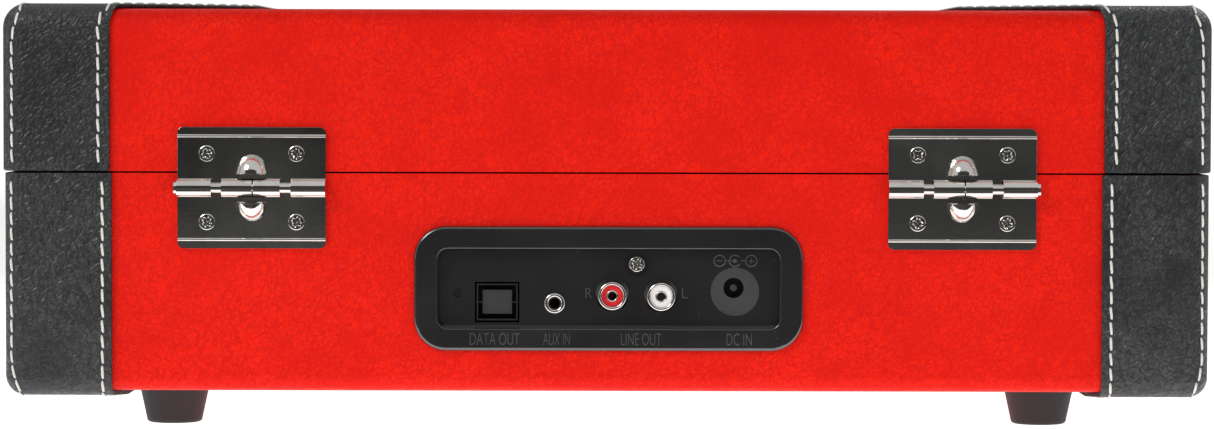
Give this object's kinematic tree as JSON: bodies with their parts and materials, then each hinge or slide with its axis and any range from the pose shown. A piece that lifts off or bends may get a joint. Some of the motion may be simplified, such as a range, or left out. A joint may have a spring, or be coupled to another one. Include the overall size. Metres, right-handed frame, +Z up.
{
  "type": "suitcase record player",
  "caption": "Portable belt-driven record player in a hinged carrying case with leather end wraps, rear jack panel, speakers, tonearm, latches and handle.",
  "frame": {"origin": "on the supporting surface under the middle of the whole object", "axes": "+Z up; the handle and latches face -Y, the hinges and jacks +Y; +X to the right of someone at the handle"},
  "size_m": [0.355, 0.2846, 0.1252],
  "materials": {
    "red_leatherette": "fine grained, satin",
    "black_leather": "pebbled, satin",
    "fibreboard": "raw board",
    "black_lining": "flocked",
    "black_gloss": "gloss moulding",
    "black_matte": "fine texture",
    "grey_plastic": "smooth",
    "white_plastic": "smooth",
    "red_plastic": "smooth",
    "lamp": "diffused",
    "nickel": "polished nickel plate",
    "steel": "zinc plated",
    "rubber": "moulded",
    "felt": "ribbed slip mat",
    "board": "circuit board laminate",
    "diamond": "stylus holder",
    "alloy": "satin paint"
  },
  "bodies": {
    "base": {"base_walls": "fibreboard", "base_floor": "fibreboard", "base_vinyl": "red_leatherette", "base_wraps": "black_leather", "hinge_leaves_base": "nickel", "hinge_pins": "nickel", "base_screws": "steel", "jack_panel": "black_gloss", "phono_shells": "nickel", "phono_insulator_red": "red_plastic", "phono_insulator_white": "white_plastic", "aux_socket": "nickel", "power_socket": "grey_plastic", "power_pin": "nickel", "data_socket": "black_matte", "data_tongue": "grey_plastic", "main_board": "board", "headphone_socket": "black_gloss", "power_lamp": "lamp", "feet": "rubber", "deck": "black_matte", "speakers": "black_matte", "motor": "steel", "drive_belt": "rubber", "tonearm_base": "black_matte", "arm_rest": "black_matte", "cue_base": "black_matte", "controls": "steel", "latch_plates": "nickel", "handle_brackets": "nickel"},
    "lid": {"lid_walls": "fibreboard", "lid_top": "fibreboard", "lid_vinyl": "red_leatherette", "lid_lining": "black_lining", "lid_wraps": "black_leather", "hinge_leaves_lid": "nickel", "lid_screws": "steel", "latch_strikes": "nickel"},
    "handle": {"handle": "black_leather"},
    "latch_lever_left": {"latch_lever_left": "nickel"},
    "latch_bail_left": {"latch_bail_left": "nickel"},
    "latch_lever_right": {"latch_lever_right": "nickel"},
    "latch_bail_right": {"latch_bail_right": "nickel"},
    "platter": {"platter": "alloy", "spindle": "nickel", "platter_mat": "felt"},
    "motor_pulley": {"motor_pulley": "steel"},
    "tonearm_yoke": {"tonearm_yoke": "black_matte"},
    "tonearm": {"tonearm": "black_gloss", "cartridge": "black_matte", "stylus": "diamond"},
    "arm_clip": {"arm_clip": "black_matte"},
    "cue_lever": {"cue_lever": "black_gloss"},
    "cue_bar": {"cue_bar": "black_matte"},
    "volume_knob": {"volume_knob": "black_gloss"},
    "mode_knob": {"mode_knob": "black_gloss"},
    "speed_switch": {"speed_switch": "black_gloss"},
    "auto_stop_switch": {"auto_stop_switch": "black_gloss"},
    "adapter_45": {"adapter_45": "black_gloss"}
  },
  "joints": [
    {"name": "lid_hinge", "type": "hinge", "parent": "base", "child": "lid", "pos_m": [0, 0.13917, 0.0713], "axis": [-1, 0, 0], "range_deg": [0, 100]},
    {"name": "handle_swing", "type": "hinge", "parent": "base", "child": "handle", "pos_m": [0, -0.13583, 0.06], "axis": [-1, 0, 0], "range_deg": [0, 170]},
    {"name": "latch_lever_left_hinge", "type": "hinge", "parent": "base", "child": "latch_lever_left", "pos_m": [-0.104, -0.13148, 0.063], "axis": [-1, 0, 0], "range_deg": [0, 100]},
    {"name": "latch_bail_left_hinge", "type": "hinge", "parent": "latch_lever_left", "child": "latch_bail_left", "pos_m": [-0.104, -0.13207, 0.056], "axis": [1, 0, 0], "range_deg": [-165, 0]},
    {"name": "latch_lever_right_hinge", "type": "hinge", "parent": "base", "child": "latch_lever_right", "pos_m": [0.104, -0.13148, 0.063], "axis": [-1, 0, 0], "range_deg": [0, 100]},
    {"name": "latch_bail_right_hinge", "type": "hinge", "parent": "latch_lever_right", "child": "latch_bail_right", "pos_m": [0.104, -0.13207, 0.056], "axis": [1, 0, 0], "range_deg": [-165, 0]},
    {"name": "platter_spin", "type": "hinge", "parent": "base", "child": "platter", "pos_m": [-0.05, 0.00453, 0.08], "axis": [0, 0, 1], "continuous": true},
    {"name": "motor_spin", "type": "hinge", "parent": "base", "child": "motor_pulley", "pos_m": [0.01784, -0.03787, 0.07], "axis": [0, 0, 1], "continuous": true},
    {"name": "tonearm_swing", "type": "hinge", "parent": "base", "child": "tonearm_yoke", "pos_m": [0.1, 0.07652, 0.085], "axis": [0, 0, -1], "range_deg": [0, 46]},
    {"name": "tonearm_lift", "type": "hinge", "parent": "tonearm_yoke", "child": "tonearm", "pos_m": [0.1, 0.07652, 0.092], "axis": [-1, 0, 0], "range_deg": [0, 5.5]},
    {"name": "arm_clip_hinge", "type": "hinge", "parent": "base", "child": "arm_clip", "pos_m": [0.1063, -0.01748, 0.0998], "axis": [0, -1, 0], "range_deg": [0, 88]},
    {"name": "cue_lever_hinge", "type": "hinge", "parent": "base", "child": "cue_lever", "pos_m": [0.128, 0.05652, 0.079], "axis": [-1, 0, 0], "range_deg": [0, 60]},
    {"name": "cue_bar_slide", "type": "slide", "parent": "base", "child": "cue_bar", "axis": [0, 0, 1], "range_m": [0, 0.0025]},
    {"name": "volume_turn", "type": "hinge", "parent": "base", "child": "volume_knob", "pos_m": [0.02, -0.10047, 0.08], "axis": [0, 0, -1], "range_deg": [0, 300]},
    {"name": "mode_turn", "type": "hinge", "parent": "base", "child": "mode_knob", "pos_m": [0.052, -0.10047, 0.08], "axis": [0, 0, -1], "range_deg": [0, 60]},
    {"name": "speed_slide", "type": "slide", "parent": "base", "child": "speed_switch", "axis": [0, 1, 0], "range_m": [0, 0.014]},
    {"name": "auto_stop_slide", "type": "slide", "parent": "base", "child": "auto_stop_switch", "axis": [0, 1, 0], "range_m": [0, 0.006]},
    {"name": "adapter_lift", "type": "slide", "parent": "base", "child": "adapter_45", "axis": [0, 0, 1], "range_m": [0, 0.025]}
  ],
  "couplings": [
    {"joint": "motor_spin", "follows": "platter_spin", "ratio": 7.0735},
    {"joint": "cue_bar_slide", "follows": "tonearm_lift", "m_per_rad": 0.02604},
    {"joint": "cue_lever_hinge", "follows": "tonearm_lift", "ratio": 10.9}
  ]
}
